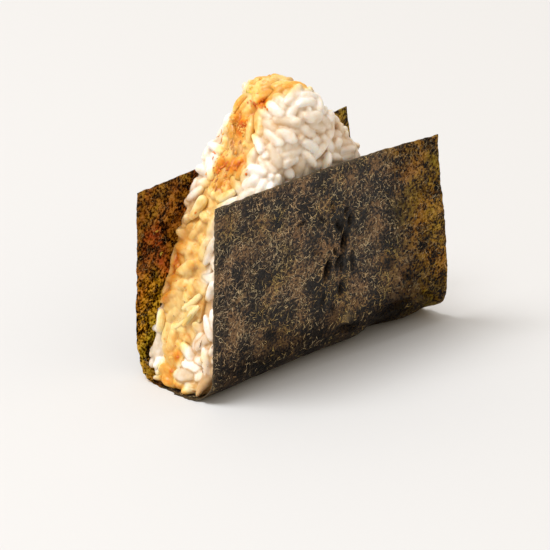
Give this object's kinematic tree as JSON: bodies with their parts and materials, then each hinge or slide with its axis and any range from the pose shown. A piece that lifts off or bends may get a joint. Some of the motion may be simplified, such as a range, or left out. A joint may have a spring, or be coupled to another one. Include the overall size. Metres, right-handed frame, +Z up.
{
  "type": "onigiri rice ball",
  "caption": "Triangular pressed rice ball with a layer of filling through it, standing upright in a folded sheet of dried seaweed that is open at the top and both ends.",
  "frame": {"origin": "on the resting plane, under the centre of the bounding box", "axes": "+X along the base of the triangle, +Y through its thickness from the front wall of the nori to the back wall, +Z up"},
  "size_m": [0.095, 0.0432, 0.0892],
  "materials": {
    "rice": "moist cooked rice, slightly translucent",
    "filling": "rice stained yellow and orange by the filling, moist",
    "nori": "dried seaweed sheet, fibrous, faint sheen"
  },
  "bodies": {
    "root": {"nori": "nori", "rice_front": "rice", "filling": "filling", "rice_back": "rice"}
  },
  "joints": []
}
